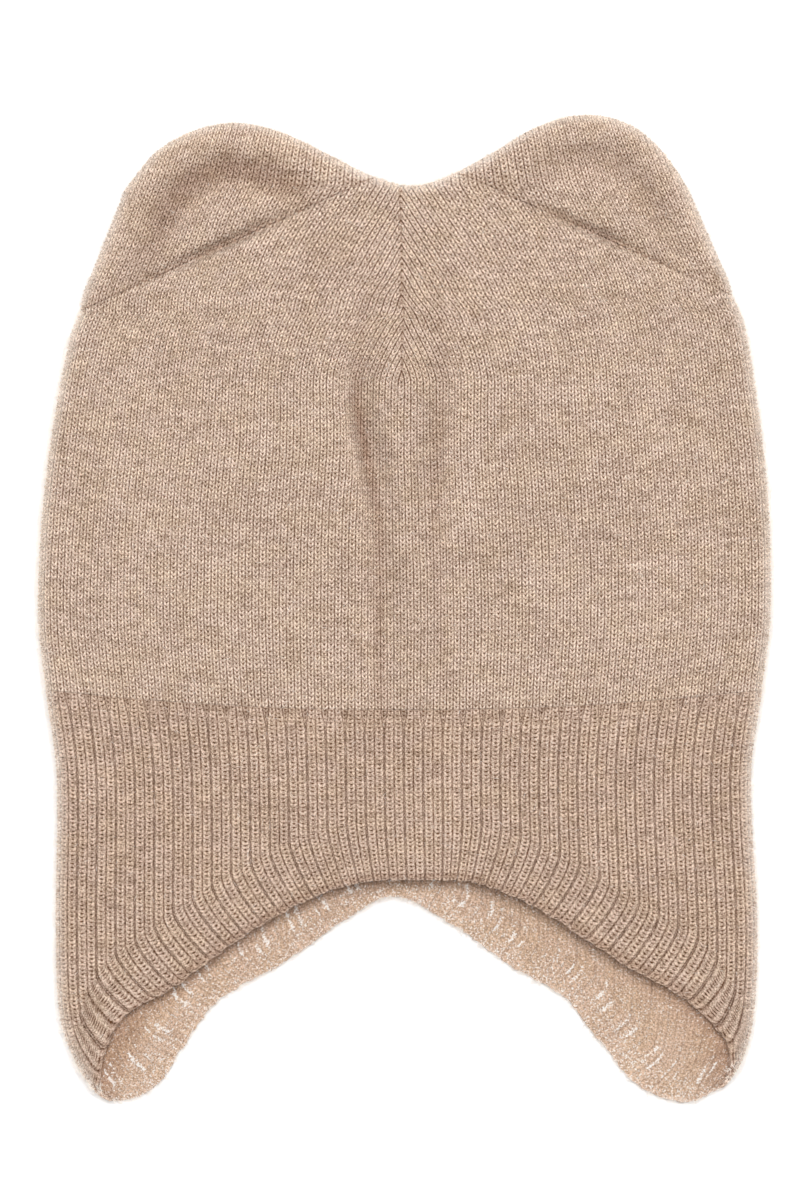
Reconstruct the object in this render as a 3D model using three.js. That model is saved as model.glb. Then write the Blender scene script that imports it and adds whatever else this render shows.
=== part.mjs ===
// A child's knit hat with two ear corners and two ear flaps, lying flat on its back.
// Millimetres. +X runs across the hat, +Y towards the crown and +Z up out of the hat's front.
// The back lies on z = 0, and the origin is under the middle of the flat hat.
import * as THREE from "three";

// Driving sizes
const crownWall = 1.8;
const earWall = 1.6;
const bandWall = 2.2;
const foldHalf = 3.4; // half the thickness of the folded side, outside
const foldSlack = 0.05; // nearer than this to a fold, front and back are one line
const pieceGap = 0.3;
const seamTop = 5.2; // the front's height where an ear's seam draws front and back together
const seamUnder = 0.5; // how far the same seam lifts the back
const seamReach = 4.5;
const seamEndRun = 1.5; // from a seam's inner end to the top edge beside it
const seamNotch = { deep: 0.8, reach: 3 }; // where the seam's outer end draws the outline in
const puffReach = 45; // from a folded side to the full height of the hat
const earPuff = { high: 1.6, reach: 12 };
const earHollow = { deep: 1.1, fromEdge: 9.5, width: 3.2 };
const creaseWidth = 3;
const ribCount = 37; // on the front, and as many on the back
const columnsPerRib = 3; // two knit columns and a sunken purl one
const ribGroove = 0.5;
const edgeTurn = 14; // the depth in which the front's ribs turn square to the hat's edge
const backTurn = 8;
const edgeSmooth = 8;
const tipReach = 22; // from a side fold to where the ribs turn fully
const ribLineSide = -20.5; // the height at which plain knit gives way to ribs, at the side folds
const ribLineSag = 5; // how much lower the same line hangs in the middle
const fullHalf = 91; // half the hat's greatest width

// The stretches of the hat's height in which its boundaries are looked for
const overSeams = [40, 124];
const nearRibLine = [-60, 20];
const nearEdge = [-124, -60];
const halvings = 40;

// The side folds of the flat hat, from the flap tips up to the ears.
const sides = [
  { at: "under the tips", y: -124, left: -73, right: 77 },
  { at: "flap tips", y: -121, left: -77.2, right: 79.4 },
  { at: "flap curve", y: -113, left: -82.4, right: 84.4 },
  { at: "flap side", y: -102, left: -86, right: 87.2 },
  { at: "band foot", y: -80, left: -87, right: 88.1 },
  { at: "band waist", y: -42, left: -86.8, right: 86.5 },
  { at: "rib line", y: -21, left: -89.5, right: 89.2 },
  { at: "crown bulge", y: -2, left: -91.5, right: 91.4 },
  { at: "crown middle", y: 26, left: -90.2, right: 90.9 },
  { at: "crown shoulder", y: 52, left: -86.6, right: 88 },
  { at: "ear seam", y: 74, left: -81.7, right: 84 },
  { at: "ear side", y: 89, left: -75.8, right: 77.6 },
  { at: "ear shoulder", y: 104.2, left: -69.8, right: 71 },
  { at: "over the ears", y: 124, left: -62, right: 63 },
];

// The folded top edge, over the left ear, down to the dip and over the right ear.
const topEdge = [
  { at: "left shoulder", x: -69.8, y: 104.2 },
  { at: "left ear corner", x: -62.5, y: 113.2 },
  { at: "left ear rise", x: -53.5, y: 118.6 },
  { at: "left ear top", x: -43, y: 120.9 },
  { at: "left ear fall", x: -31.5, y: 118.8 },
  { at: "left neck", x: -19, y: 113 },
  { at: "left dip", x: -8, y: 107.6 },
  { at: "dip", x: 1.5, y: 105.2 },
  { at: "right dip", x: 10.5, y: 107.4 },
  { at: "right neck", x: 22, y: 113.4 },
  { at: "right ear fall", x: 33, y: 119.8 },
  { at: "right ear top", x: 44.5, y: 122.9 },
  { at: "right ear rise", x: 56, y: 120.6 },
  { at: "right ear corner", x: 64.5, y: 113.8 },
  { at: "right shoulder", x: 71, y: 104.2 },
];

// Each ear's seam, a straight line across the corner, from the side fold to the dip.
const seams = {
  left: { outer: { x: -81.9, y: 73.4 }, inner: { x: -12.5, y: 105 } },
  right: { outer: { x: 82.8, y: 77.4 }, inner: { x: 16.5, y: 107 } },
};

// The height at which each side fold ends in a flap's tip.
const tips = { left: -121.2, right: -118.2 };

// The hat's lower edge on the front, an arch between the two flap tips.
const frontEdge = [
  { at: "left flap", x: -72.4, y: -109.5 },
  { at: "left flap corner", x: -68, y: -101.4 },
  { at: "left foot", x: -56.5, y: -92.6 },
  { at: "left rise", x: -40, y: -80.6 },
  { at: "left brow", x: -22.6, y: -71 },
  { at: "brow", x: -9.5, y: -67.3 },
  { at: "middle", x: 3, y: -66.9 },
  { at: "right brow", x: 17, y: -67.4 },
  { at: "right rise", x: 34, y: -74.2 },
  { at: "right foot", x: 55, y: -87.8 },
  { at: "right flap corner", x: 72, y: -98.2 },
  { at: "right flap", x: 79.2, y: -107.6 },
];

// The lower edge on the back, which shows the flaps' round lobes and a peak between them.
const backEdge = [
  { at: "left lobe", x: -71.5, y: -122.8 },
  { at: "left lobe side", x: -61, y: -118.6 },
  { at: "left lobe inside", x: -53.6, y: -109.6 },
  { at: "left hollow", x: -46, y: -97.6 },
  { at: "left rise", x: -31, y: -88.3 },
  { at: "left slope", x: -15, y: -77.4 },
  { at: "peak", x: -3, y: -71.5 },
  { at: "right slope", x: 11.5, y: -78 },
  { at: "right rise", x: 27, y: -89 },
  { at: "right hollow", x: 41.5, y: -98 },
  { at: "right lobe inside", x: 48.5, y: -109 },
  { at: "right lobe side", x: 57, y: -118.2 },
  { at: "right lobe", x: 71, y: -122.8 },
];

// The front stands highest over the crown and comes down to the mouth and to the dip.
const puff = [
  { at: "flap tips", y: -121, high: 2.6 },
  { at: "brow", y: -67, high: 4.6 },
  { at: "rib line", y: -22, high: 6 },
  { at: "crown", y: 20, high: 7.6 },
  { at: "crown shoulder", y: 60, high: 6.4 },
  { at: "ears", y: 105, high: 4.4 },
];

// Two soft creases run down the front from the dip, with a shallow channel between them.
const creases = {
  left: [
    { at: "end", y: -36, x: -5.4, deep: 0 },
    { at: "foot", y: -8, x: -6.2, deep: 1.4 },
    { at: "lower", y: 22, x: -6.4, deep: 2.6 },
    { at: "deepest", y: 39, x: -9.6, deep: 3.4 },
    { at: "bend", y: 55, x: -11.9, deep: 2.4 },
    { at: "upper", y: 79, x: -8.2, deep: 0.8 },
    { at: "start", y: 97, x: -4, deep: 0 },
  ],
  right: [
    { at: "end", y: -34, x: 10.4, deep: 0 },
    { at: "foot", y: -10, x: 9.4, deep: 0.8 },
    { at: "lower", y: 14, x: 7.4, deep: 1.3 },
    { at: "deepest", y: 38, x: 8, deep: 1.9 },
    { at: "bend", y: 50, x: 8.8, deep: 1.5 },
    { at: "upper", y: 72, x: 9.4, deep: 0.7 },
    { at: "start", y: 92, x: 7, deep: 0 },
  ],
};
const channel = [
  { at: "end", y: -52, deep: 0 },
  { at: "lower", y: -24, deep: 1.2 },
  { at: "upper", y: 26, deep: 1 },
  { at: "start", y: 50, deep: 0 },
];

const { clamp, lerp } = THREE.MathUtils;
const smooth = (q) => THREE.MathUtils.smoothstep(q, 0, 1);
const bell = (q) => Math.exp(-q * q);

// A smooth curve through one column of a table, read at a place along another column.
function read(rows, along, key, at) {
  const last = rows.length - 1;
  const place = clamp(at, rows[0][along], rows[last][along]);
  let i = 0;
  while (i < last - 1 && rows[i + 1][along] < place) i += 1;
  const slope = (k) => {
    const a = rows[Math.max(k - 1, 0)];
    const b = rows[Math.min(k + 1, last)];
    return (b[key] - a[key]) / (b[along] - a[along]);
  };
  const span = rows[i + 1][along] - rows[i][along];
  const q = (place - rows[i][along]) / span;
  const rise = rows[i + 1][key] - rows[i][key];
  const bend = slope(i) * span * q * (1 - q) ** 2 - slope(i + 1) * span * q * q * (1 - q);
  return rows[i][key] + rise * q * q * (3 - 2 * q) + bend;
}

function sideAt(side, y) {
  const notch = seamNotch.deep * bell((y - seams[side].outer.y) / seamNotch.reach);
  const edge = read(sides, "y", side, y);
  return side === "left" ? edge + notch : edge - notch;
}

const middleX = (y) => (sideAt("left", y) + sideAt("right", y)) / 2;
const halfWidth = (y) => (sideAt("right", y) - sideAt("left", y)) / 2;

// A column of the knit keeps its share of the hat's width, from -1 at the left fold to 1.
const columnX = (share, y) => middleX(y) + share * halfWidth(y);
const shareAt = (x, y) => (x - middleX(y)) / halfWidth(y);

const ribLine = (x) => ribLineSide - ribLineSag * (1 - (x / fullHalf) ** 2);
const topAt = (x) => read(topEdge, "x", "y", x);

function withTips(edge) {
  const tip = (side) => ({ at: `${side} tip`, x: sideAt(side, tips[side]), y: tips[side] });
  const rows = [tip("left"), ...edge, tip("right")];
  return (x) => read(rows, "x", "y", x);
}
const frontFoot = withTips(frontEdge);
const backFoot = withTips(backEdge);

// The crown's upper boundary: the two seams, and the top edge between them.
function crownTop(x) {
  const { left, right } = seams;
  const along = ({ outer, inner }) => {
    return lerp(outer.y, inner.y, (x - outer.x) / (inner.x - outer.x));
  };
  if (x <= left.inner.x) return along(left);
  if (x >= right.inner.x) return along(right);
  const fromLeft = x - left.inner.x;
  const fromRight = right.inner.x - x;
  const start = fromLeft < fromRight ? left.inner.y : right.inner.y;
  return lerp(start, topAt(x), clamp(Math.min(fromLeft, fromRight) / seamEndRun, 0, 1));
}

// The value between two others at which a rising test turns true.
function turning([low, high], test) {
  let [a, b] = [low, high];
  for (let step = 0; step < halvings; step += 1) {
    const middle = (a + b) / 2;
    if (test(middle)) b = middle;
    else a = middle;
  }
  return (a + b) / 2;
}

// Where a column crosses a boundary that is given as a height over x.
function crossing(share, boundary, stretch) {
  return turning(stretch, (y) => y > boundary(columnX(share, y)));
}

const lineSteps = 120;

function lineOf(from, to, pointAt) {
  const points = [];
  for (let i = 0; i <= lineSteps; i += 1) points.push(pointAt(lerp(from, to, i / lineSteps)));
  return points;
}

function distanceTo(line, x, y) {
  let best = Infinity;
  for (let i = 0; i < line.length - 1; i += 1) {
    const [a, b] = [line[i], line[i + 1]];
    const [dx, dy] = [b.x - a.x, b.y - a.y];
    const q = clamp(((x - a.x) * dx + (y - a.y) * dy) / (dx * dx + dy * dy), 0, 1);
    best = Math.min(best, Math.hypot(x - a.x - q * dx, y - a.y - q * dy));
  }
  return best;
}

const [shoulderLeft, shoulderRight] = [topEdge[0], topEdge.at(-1)];
const topLine = lineOf(shoulderLeft.x, shoulderRight.x, (x) => ({ x, y: topAt(x) }));
const crownLine = lineOf(seams.left.outer.x, seams.right.outer.x, (x) => ({ x, y: crownTop(x) }));
const sideLines = {
  left: lineOf(tips.left, shoulderLeft.y, (y) => ({ x: sideAt("left", y), y })),
  right: lineOf(tips.right, shoulderRight.y, (y) => ({ x: sideAt("right", y), y })),
};
const seamLines = Object.values(seams).map(({ outer, inner }) => [outer, inner]);

// How far a point of the plan lies inside the folded outline.
function insideFold(x, y) {
  const side = x < 0 ? sideLines.left : sideLines.right;
  return Math.max(0, Math.min(distanceTo(topLine, x, y), distanceTo(side, x, y)) - foldSlack);
}

// The depth of the front's creases and of the channel between them.
function frontRelief(x, y) {
  const centre = (side) => read(creases[side], "y", "x", y);
  let deep = 0;
  for (const side of ["left", "right"]) {
    deep += read(creases[side], "y", "deep", y) * bell((x - centre(side)) / creaseWidth);
  }
  const fromLeft = smooth((x - centre("left")) / creaseWidth);
  const fromRight = smooth((centre("right") - x) / creaseWidth);
  return deep + read(channel, "y", "deep", y) * fromLeft * fromRight;
}

// How high the front lifts over the flat fold, at a distance inside the outline.
function frontLift(x, y, edge, inEar) {
  const high = read(puff, "y", "high", y) * smooth(edge / puffReach);
  if (!inEar) return high - frontRelief(x, y);
  const rim = earHollow.deep * bell((edge - earHollow.fromEdge) / earHollow.width);
  return high + earPuff.high * smooth(edge / earPuff.reach) - rim;
}

// The heights of the front and the back at a point, on the face this far inside the wall.
function heights(x, y, depth, inEar) {
  const edge = insideFold(x, y);
  const half = foldHalf - depth;
  const q = clamp((edge - depth) / half, 0, 1);
  const swell = half * Math.sqrt(1 - (1 - q) ** 2);
  const pinch = bell(Math.min(...seamLines.map((line) => distanceTo(line, x, y))) / seamReach);
  const front = foldHalf + swell + frontLift(x, y, edge, inEar) * Math.sqrt(q);
  const back = foldHalf - swell;
  return {
    front: front - pinch * Math.max(0, front - (seamTop - depth)),
    back: back + pinch * Math.max(0, seamUnder + depth - back),
  };
}

// A closed solid over shared points. Triangles that collapse are left out, and so are the two
// that cancel where front and back lie on each other.
class Shell {
  constructor() {
    this.ids = new Map();
    this.points = [];
    this.triangles = new Map();
  }

  add([x, y, z]) {
    const key = [x, y, z].map((v) => Math.round(v * 1e3)).join();
    if (!this.ids.has(key)) {
      this.ids.set(key, this.points.length / 3);
      this.points.push(x, y, z);
    }
    return this.ids.get(key);
  }

  addRing(ring) {
    return { front: ring.front.map((p) => this.add(p)), back: ring.back.map((p) => this.add(p)) };
  }

  triangle(a, b, c) {
    if (a === b || b === c || c === a) return;
    const key = [a, b, c].sort((p, q) => p - q).join();
    if (!this.triangles.delete(key)) this.triangles.set(key, [a, b, c]);
  }

  // The faces between two chains of points, of which the first may be the finer one.
  ribbon(fine, coarse, outward) {
    const per = (fine.length - 1) / (coarse.length - 1);
    for (let i = 0; i < fine.length - 1; i += 1) {
      const [a, b] = [fine[i], fine[i + 1]];
      const [c, d] = [coarse[Math.floor(i / per)], coarse[Math.floor((i + 1) / per)]];
      if (outward) {
        this.triangle(a, b, d);
        this.triangle(a, d, c);
      } else {
        this.triangle(b, a, d);
        this.triangle(d, a, c);
      }
    }
  }

  // The faces between two rings, over the front, along the back and round both ends.
  between(low, high, outward) {
    this.ribbon(low.front, high.front, outward);
    this.ribbon(low.back, high.back, !outward);
    const ends = ({ front, back }) => [
      [front.at(-1), back.at(-1)],
      [back[0], front[0]],
    ];
    const [from, to] = [ends(low), ends(high)];
    from.forEach((chain, i) => this.ribbon(chain, to[i], outward));
  }

  wall(rings, outward) {
    for (let i = 0; i < rings.length - 1; i += 1) this.between(rings[i], rings[i + 1], outward);
  }

  geometry() {
    const position = new THREE.Float32BufferAttribute(this.points, 3);
    const index = [...this.triangles.values()].flat();
    return new THREE.BufferGeometry().setAttribute("position", position).setIndex(index);
  }
}

// A bag's wall, open below and closed along its upper boundary.
function bag(outerRings, innerRings) {
  const shell = new Shell();
  const outer = outerRings.map((ring) => shell.addRing(ring));
  const inner = innerRings.map((ring) => shell.addRing(ring));
  shell.wall(outer, true);
  shell.wall(inner, false);
  shell.between(outer[0], inner[0], false);
  shell.ribbon(outer.at(-1).front, outer.at(-1).back, true);
  shell.ribbon(inner.at(-1).front, inner.at(-1).back, false);
  return shell.geometry();
}

// A tube's wall, open at both ends.
function tube(outerRings, innerRings) {
  const shell = new Shell();
  const outer = outerRings.map((ring) => shell.addRing(ring));
  const inner = innerRings.map((ring) => shell.addRing(ring));
  shell.wall(outer, true);
  shell.wall(inner, false);
  shell.between(outer[0], inner[0], false);
  shell.between(outer.at(-1), inner.at(-1), true);
  return shell.geometry();
}

// Columns stand close together at the folds, where the cloth turns, and over the creases.
const fromFold = [0, 0.5, 1.7, 3.4, 8, 15, 26, 38, 50, 62];
const overCreases = [-12, -9.6, -7.2, -4.8, -1.6, 1.6, 4.8, 7.2, 9.6, 12, 15];
const belowTop = [12, 7, 3.6, 1.7, 0.5, 0];
const crownRows = 9;

function crownShares() {
  const { left, right } = seams;
  return [
    ...fromFold.map((distance) => distance / fullHalf - 1),
    shareAt(left.inner.x, left.inner.y),
    shareAt(left.inner.x + seamEndRun, topAt(left.inner.x + seamEndRun)),
    ...overCreases.map((x) => x / fullHalf),
    shareAt(right.inner.x - seamEndRun, topAt(right.inner.x - seamEndRun)),
    shareAt(right.inner.x, right.inner.y),
    ...[...fromFold].reverse().map((distance) => 1 - distance / fullHalf),
  ];
}

// The highest point of a column that keeps a distance below a line.
function heightUnder(share, line, boundary, distance) {
  const top = crossing(share, boundary, overSeams);
  if (distance === 0) return top;
  const under = [overSeams[0], top];
  return turning(under, (y) => distanceTo(line, columnX(share, y), y) < distance);
}

function crownRings(depth) {
  const inset = 1 - depth / fullHalf;
  const columns = crownShares().map((full) => {
    const share = full * inset;
    const low = crossing(share, (x) => ribLine(x) + pieceGap / 2, nearRibLine);
    const high = heightUnder(share, crownLine, crownTop, depth);
    const ys = [];
    for (let i = 0; i < crownRows; i += 1) ys.push(lerp(low, high - belowTop[0], i / crownRows));
    return { share, ys: [...ys, ...belowTop.map((distance) => high - distance)] };
  });
  return ringsOver(columns, depth, false);
}

// Rings of front and back points from columns that have their heights listed upwards.
function ringsOver(columns, depth, inEar) {
  return columns[0].ys.map((_, i) => {
    const ring = { front: [], back: [] };
    for (const { share, ys } of columns) {
      const [x, y] = [columnX(share, ys[i]), ys[i]];
      const { front, back } = heights(x, y, depth, inEar);
      ring.front.push([x, y, front]);
      ring.back.push([x, y, back]);
    }
    return ring;
  });
}

const earFold = [0, 0.5, 1.6, 3.4];
const earColumns = 12;
const earRows = 5;
const earTopShares = [1, 0.56, 0.28, 0.08, 0];
const earTopRun = { most: 6, part: 0.7 }; // the rounded stretch, and its part of a short column
const earEndGap = 0.5; // between the ear's inner end and the crown's rise beside it

function earRings(side, depth) {
  const sign = side === "left" ? -1 : 1;
  const { inner } = seams[side];
  const near = Math.abs(shareAt(inner.x, inner.y)) + (earEndGap + depth) / halfWidth(inner.y);
  const far = 1 - depth / fullHalf;
  const across = earFold.map((distance) => far - distance / fullHalf);
  const start = across.at(-1);
  for (let i = 1; i <= earColumns; i += 1) across.push(lerp(start, near, i / earColumns));
  const columns = across.map((size) => {
    const share = sign * size;
    const low = crossing(share, (x) => crownTop(x) + pieceGap, overSeams);
    const high = heightUnder(share, topLine, topAt, depth);
    const run = Math.min(earTopRun.most, (high - low) * earTopRun.part);
    const ys = [];
    for (let i = 0; i < earRows; i += 1) ys.push(lerp(low, high - run, i / earRows));
    return { share, ys: [...ys, ...earTopShares.map((part) => high - part * run)] };
  });
  return ringsOver(sign < 0 ? columns : columns.reverse(), depth, true);
}

// The slope of an edge as a sine, taken over a stretch so that the ribs fan out evenly.
function edgeLean(foot, x) {
  const slope = (foot(x + edgeSmooth) - foot(x - edgeSmooth)) / (2 * edgeSmooth);
  return slope / Math.hypot(1, slope);
}

const turnEase = 1.4; // how gently a rib leaves its straight run
const turnPasses = 12;

// A rib's way down from the rib line, ending square to the edge over its last stretch.
function ribPath(full, inset, foot, fullTurn) {
  const share = full * inset;
  const plainY = crossing(share, foot, nearEdge);
  const plainX = columnX(share, plainY);
  const turn = fullTurn * smooth(((1 - Math.abs(full)) * fullHalf) / tipReach);
  let footX = plainX;
  for (let pass = 0; pass < turnPasses; pass += 1) footX = plainX + turn * edgeLean(foot, footX);
  const lean = edgeLean(foot, footX);
  const footY = turn === 0 ? plainY : foot(footX);
  const bendY = footY + fullTurn * Math.sqrt(1 - lean * lean);
  const top = crossing(share, (x) => ribLine(x) - pieceGap / 2, nearRibLine);
  return (q) => {
    const y = q < 1 ? lerp(footY, bendY, q) : lerp(bendY, top, q - 1);
    const shift = q < 1 ? (footX - plainX) * (1 - q) ** turnEase : 0;
    return [columnX(share, y) + shift, y];
  };
}

const bandSteps = [0, 0.3, 0.65, 1, 1.33, 1.66, 2]; // 1 is where a rib starts to turn

// The band's rings. A fold's own column ends at the front's edge on both layers.
function bandRings(depth, columnCount, groove) {
  const inset = 1 - depth / fullHalf;
  const rings = bandSteps.map(() => ({ front: [], back: [] }));
  for (let i = 0; i <= columnCount; i += 1) {
    const full = (2 * i) / columnCount - 1;
    const onFold = i === 0 || i === columnCount;
    const front = ribPath(full, inset, frontFoot, edgeTurn);
    const back = onFold ? front : ribPath(full, inset, backFoot, backTurn);
    const sunk = i % columnsPerRib === 1 ? groove : 0;
    bandSteps.forEach((q, row) => {
      const [[x, y], [backX, backY]] = [front(q), back(q)];
      rings[row].front.push([x, y, heights(x, y, depth, false).front - sunk]);
      rings[row].back.push([backX, backY, heights(backX, backY, depth, false).back]);
    });
  }
  return rings;
}

function knit(name, geometry, colour) {
  geometry.computeVertexNormals();
  const material = new THREE.MeshStandardMaterial({ color: colour, roughness: 0.95, metalness: 0 });
  const mesh = new THREE.Mesh(geometry, material);
  mesh.name = name;
  return mesh;
}

const plainKnit = 0xc2a48d;
const ribKnit = 0xb99b84;

const hat = new THREE.Group();
hat.name = "knit_hat";
hat.add(knit("crown", bag(crownRings(0), crownRings(crownWall)), plainKnit));
for (const side of ["left", "right"]) {
  hat.add(knit(`ear_${side}`, bag(earRings(side, 0), earRings(side, earWall)), plainKnit));
}
const outerBand = bandRings(0, ribCount * columnsPerRib, ribGroove);
hat.add(knit("rib_band", tube(outerBand, bandRings(bandWall, ribCount, 0)), ribKnit));

export default hat;
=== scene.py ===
import copy
import math

import bmesh
import bpy
import numpy as np
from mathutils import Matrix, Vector


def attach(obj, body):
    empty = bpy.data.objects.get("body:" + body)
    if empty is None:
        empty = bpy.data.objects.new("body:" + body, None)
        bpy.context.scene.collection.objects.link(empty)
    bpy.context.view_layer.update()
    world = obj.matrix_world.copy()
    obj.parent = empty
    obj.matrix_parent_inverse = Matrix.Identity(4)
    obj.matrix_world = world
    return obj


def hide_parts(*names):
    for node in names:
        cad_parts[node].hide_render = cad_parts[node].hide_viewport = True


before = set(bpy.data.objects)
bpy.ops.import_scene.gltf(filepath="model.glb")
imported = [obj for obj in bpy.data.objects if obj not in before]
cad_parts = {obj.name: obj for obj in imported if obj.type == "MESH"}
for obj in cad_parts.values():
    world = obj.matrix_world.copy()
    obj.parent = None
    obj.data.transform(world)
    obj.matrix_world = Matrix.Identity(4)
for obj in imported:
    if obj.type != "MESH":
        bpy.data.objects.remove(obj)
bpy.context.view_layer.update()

# A child's knit hat with two ear corners and two ear flaps, lying flat on its back.
# Sizes are millimetres until a mesh is made: +X across the hat, +Y to the ears, +Z up.
form = {
    "foldHalf": 3.4,  # half the thickness of a folded side
    "foldSlack": 0.05,
    "fullHalf": 91,
    "seamTop": 7,  # height of the front where an ear's seam draws the layers together
    "seamUnder": 0.5,  # how far the same seam lifts the back
    "seamReach": 1.5,
    "notchDeep": 0.8,
    "notchReach": 3,
    "puffReach": 45,
    "earPuff": 2.6,
    "earPuffReach": 7.5,
    "earEndReach": 9,  # from an ear's inner end to its full puff
    "earSeamReach": 5,  # and from its seam
    "hollowDeep": 3.6,
    "hollowFromEdge": {"left": 11.5, "right": 9.5},
    "hollowOuter": 4,
    "hollowInner": 7.5,
    "troughFrom": {"left": (-78, -52), "right": (20, 44)},  # where it reaches its full depth
    "troughLeast": 0.15,
    "creaseOuter": 3.3,
    "creaseInner": 6.5,
    "creaseMore": {"left": 1.45, "right": 1.8},  # the cloth folds a little deeper than the solid
    "channelEnds": 5,  # the channel is gone where a crease is this deep
    "ribLineSide": -20.5,
    "ribLineSag": 5,
    "waveHigh": 0.25,  # slight unevenness of the lying cloth
    "waveReach": 17,
    "waveFromEdge": 12,
    "middleLean": -1.6,  # how far the front's middle line lies to the left above
    "middleFrom": (-10, 50),
}
outwards = {"left": -1, "right": 1}


def table(columns, *rows):
    return dict(zip(columns.split(), np.array(rows, float).T))


# The side folds of the flat hat, from the flap tips up to the ears
sides = table(
    "y left right",
    (-124, -73, 77), (-121, -77.2, 79.4), (-113, -82.4, 84.4), (-102, -86, 87.2),
    (-80, -87, 88.1), (-42, -86.8, 86.5), (-21, -89.5, 89.2), (-2, -91.5, 91.4),
    (26, -90.2, 90.9), (52, -86.6, 88), (74, -81.7, 84), (89, -75.8, 77.6),
    (104.2, -69.8, 71), (124, -62, 63),
)

# The folded top edge, over the left ear, down to the dip and over the right ear
topEdge = table(
    "x y",
    (-69.8, 104.2), (-62.5, 113.2), (-53.5, 118.6), (-43, 120.9), (-31.5, 118.8),
    (-19, 113), (-8, 107.6), (1.5, 105.2), (10.5, 107.4), (22, 113.4),
    (33, 119.8), (44.5, 122.9), (56, 120.6), (64.5, 113.8), (71, 104.2),
)

# Each ear's seam, from the side fold to its inner end beside the dip
seams = {
    "left": {"outer": (-81.9, 73.4), "inner": (-12.5, 105)},
    "right": {"outer": (82.8, 77.4), "inner": (16.5, 107)},
}
tips = {"left": -121.2, "right": -118.2}

# The lower edge on the front, an arch between the flaps
frontEdge = table(
    "x y",
    (-72.4, -109.5), (-68, -101.4), (-56.5, -92.6), (-40, -80.6), (-22.6, -71), (-9.5, -67.3),
    (3, -66.9), (17, -67.4), (34, -74.2), (55, -87.8), (72, -98.2), (79.2, -107.6),
)

# The lower edge on the back, with the flaps' round lobes and a peak between them
backEdge = table(
    "x y",
    (-71.5, -122.8), (-61, -118.6), (-53.6, -109.6), (-46, -97.6), (-31, -88.3),
    (-15, -77.4), (-3, -71.5), (11.5, -78), (27, -89), (41.5, -98),
    (48.5, -109), (57, -118.2), (71, -122.8),
)

# How high the front lifts, from the flap tips to the ears
puff = table("y high", (-121, 2.6), (-67, 4.6), (-22, 6), (20, 7.6), (60, 6.4), (105, 4.4))

# Two soft creases run down the front, with a shallow channel between them
creases = {
    "left": table(
        "y x deep",
        (-36, -5.4, 0), (-8, -6.2, 1.4), (22, -6.4, 2.6), (39, -9.6, 3.4),
        (55, -11.9, 2.4), (79, -8.2, 0.8), (97, -4, 0),
    ),
    "right": table(
        "y x deep",
        (-34, 10.4, 0), (-10, 9.4, 0.8), (14, 7.4, 1.3), (38, 8, 1.9),
        (50, 8.8, 1.5), (72, 9.4, 0.7), (92, 7, 0),
    ),
}
channel = table("y deep", (-52, 0), (-24, 1.2), (26, 1), (50, 0))


def smooth(q):
    q = np.clip(q, 0, 1)
    return q * q * (3 - 2 * q)


def climb(value, start, end):
    return smooth((value - start) / (end - start))


def bell(q):
    return np.exp(-q * q)


def mix(a, b, q):
    return a + (b - a) * q


def unit(vectors):
    return vectors / np.maximum(np.linalg.norm(vectors, axis=1, keepdims=True), 1e-9)


# A smooth curve through one column of a table, read at places along its first column.
def read(rows, key, at):
    t, v = next(iter(rows.values())), rows[key]
    place = np.clip(at, t[0], t[-1])
    i = np.clip(np.searchsorted(t, place) - 1, 0, len(t) - 2)
    k = np.arange(len(t))
    before, after = np.maximum(k - 1, 0), np.minimum(k + 1, len(t) - 1)
    slope = (v[after] - v[before]) / (t[after] - t[before])
    span = t[i + 1] - t[i]
    q = (place - t[i]) / span
    bend = slope[i] * span * q * (1 - q) ** 2 - slope[i + 1] * span * q * q * (1 - q)
    return v[i] + (v[i + 1] - v[i]) * smooth(q) + bend


# The value of a grid between its four nearest places. Past its ends the grid starts again.
def gridAt(grid, x, y, ease=lambda q: q):
    wide, high = grid.shape
    i, j = np.floor(x).astype(int), np.floor(y).astype(int)
    across, up = ease(x - i), ease(y - j)
    left, right = i % wide, (i + 1) % wide
    near, far = [mix(grid[left, k % high], grid[right, k % high], across) for k in (j, j + 1)]
    return mix(near, far, up)


# A random field from -1 to 1 that changes smoothly over one unit.
def wander(seed, x, y):
    return gridAt(np.random.default_rng(seed).uniform(-1, 1, (97, 97)), x, y, smooth)


def sideAt(side, y):
    notch = form["notchDeep"] * bell((y - seams[side]["outer"][1]) / form["notchReach"])
    return read(sides, side, y) - outwards[side] * notch


def ribLine(x):
    return form["ribLineSide"] - form["ribLineSag"] * (1 - (x / form["fullHalf"]) ** 2)


def topAt(x):
    return read(topEdge, "y", x)


def seamAt(side, x):
    (x0, y0), (x1, y1) = seams[side]["outer"], seams[side]["inner"]
    return mix(y0, y1, (x - x0) / (x1 - x0))


# How far a place is into an ear from the inner end of its seam.
def pastEnd(side, x):
    return (x - seams[side]["inner"][0]) * outwards[side]


# The front's middle line: midway between the side folds, and further left above.
def middleX(y):
    lean = form["middleLean"] * climb(y, *form["middleFrom"])
    return (sideAt("left", y) + sideAt("right", y)) / 2 + lean


tipX = {side: sideAt(side, tips[side]) for side in tips}


# A lower edge with the flaps' tips at its ends.
def withTips(edge):
    rows = {
        key: np.r_[ends["left"], edge[key], ends["right"]]
        for key, ends in (("x", tipX), ("y", tips))
    }
    return lambda x: read(rows, "y", x)


footOf = {"front": withTips(frontEdge), "back": withTips(backEdge)}


def lineOf(start, end, pointAt):
    return np.column_stack(pointAt(np.linspace(start, end, 121)))


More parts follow.
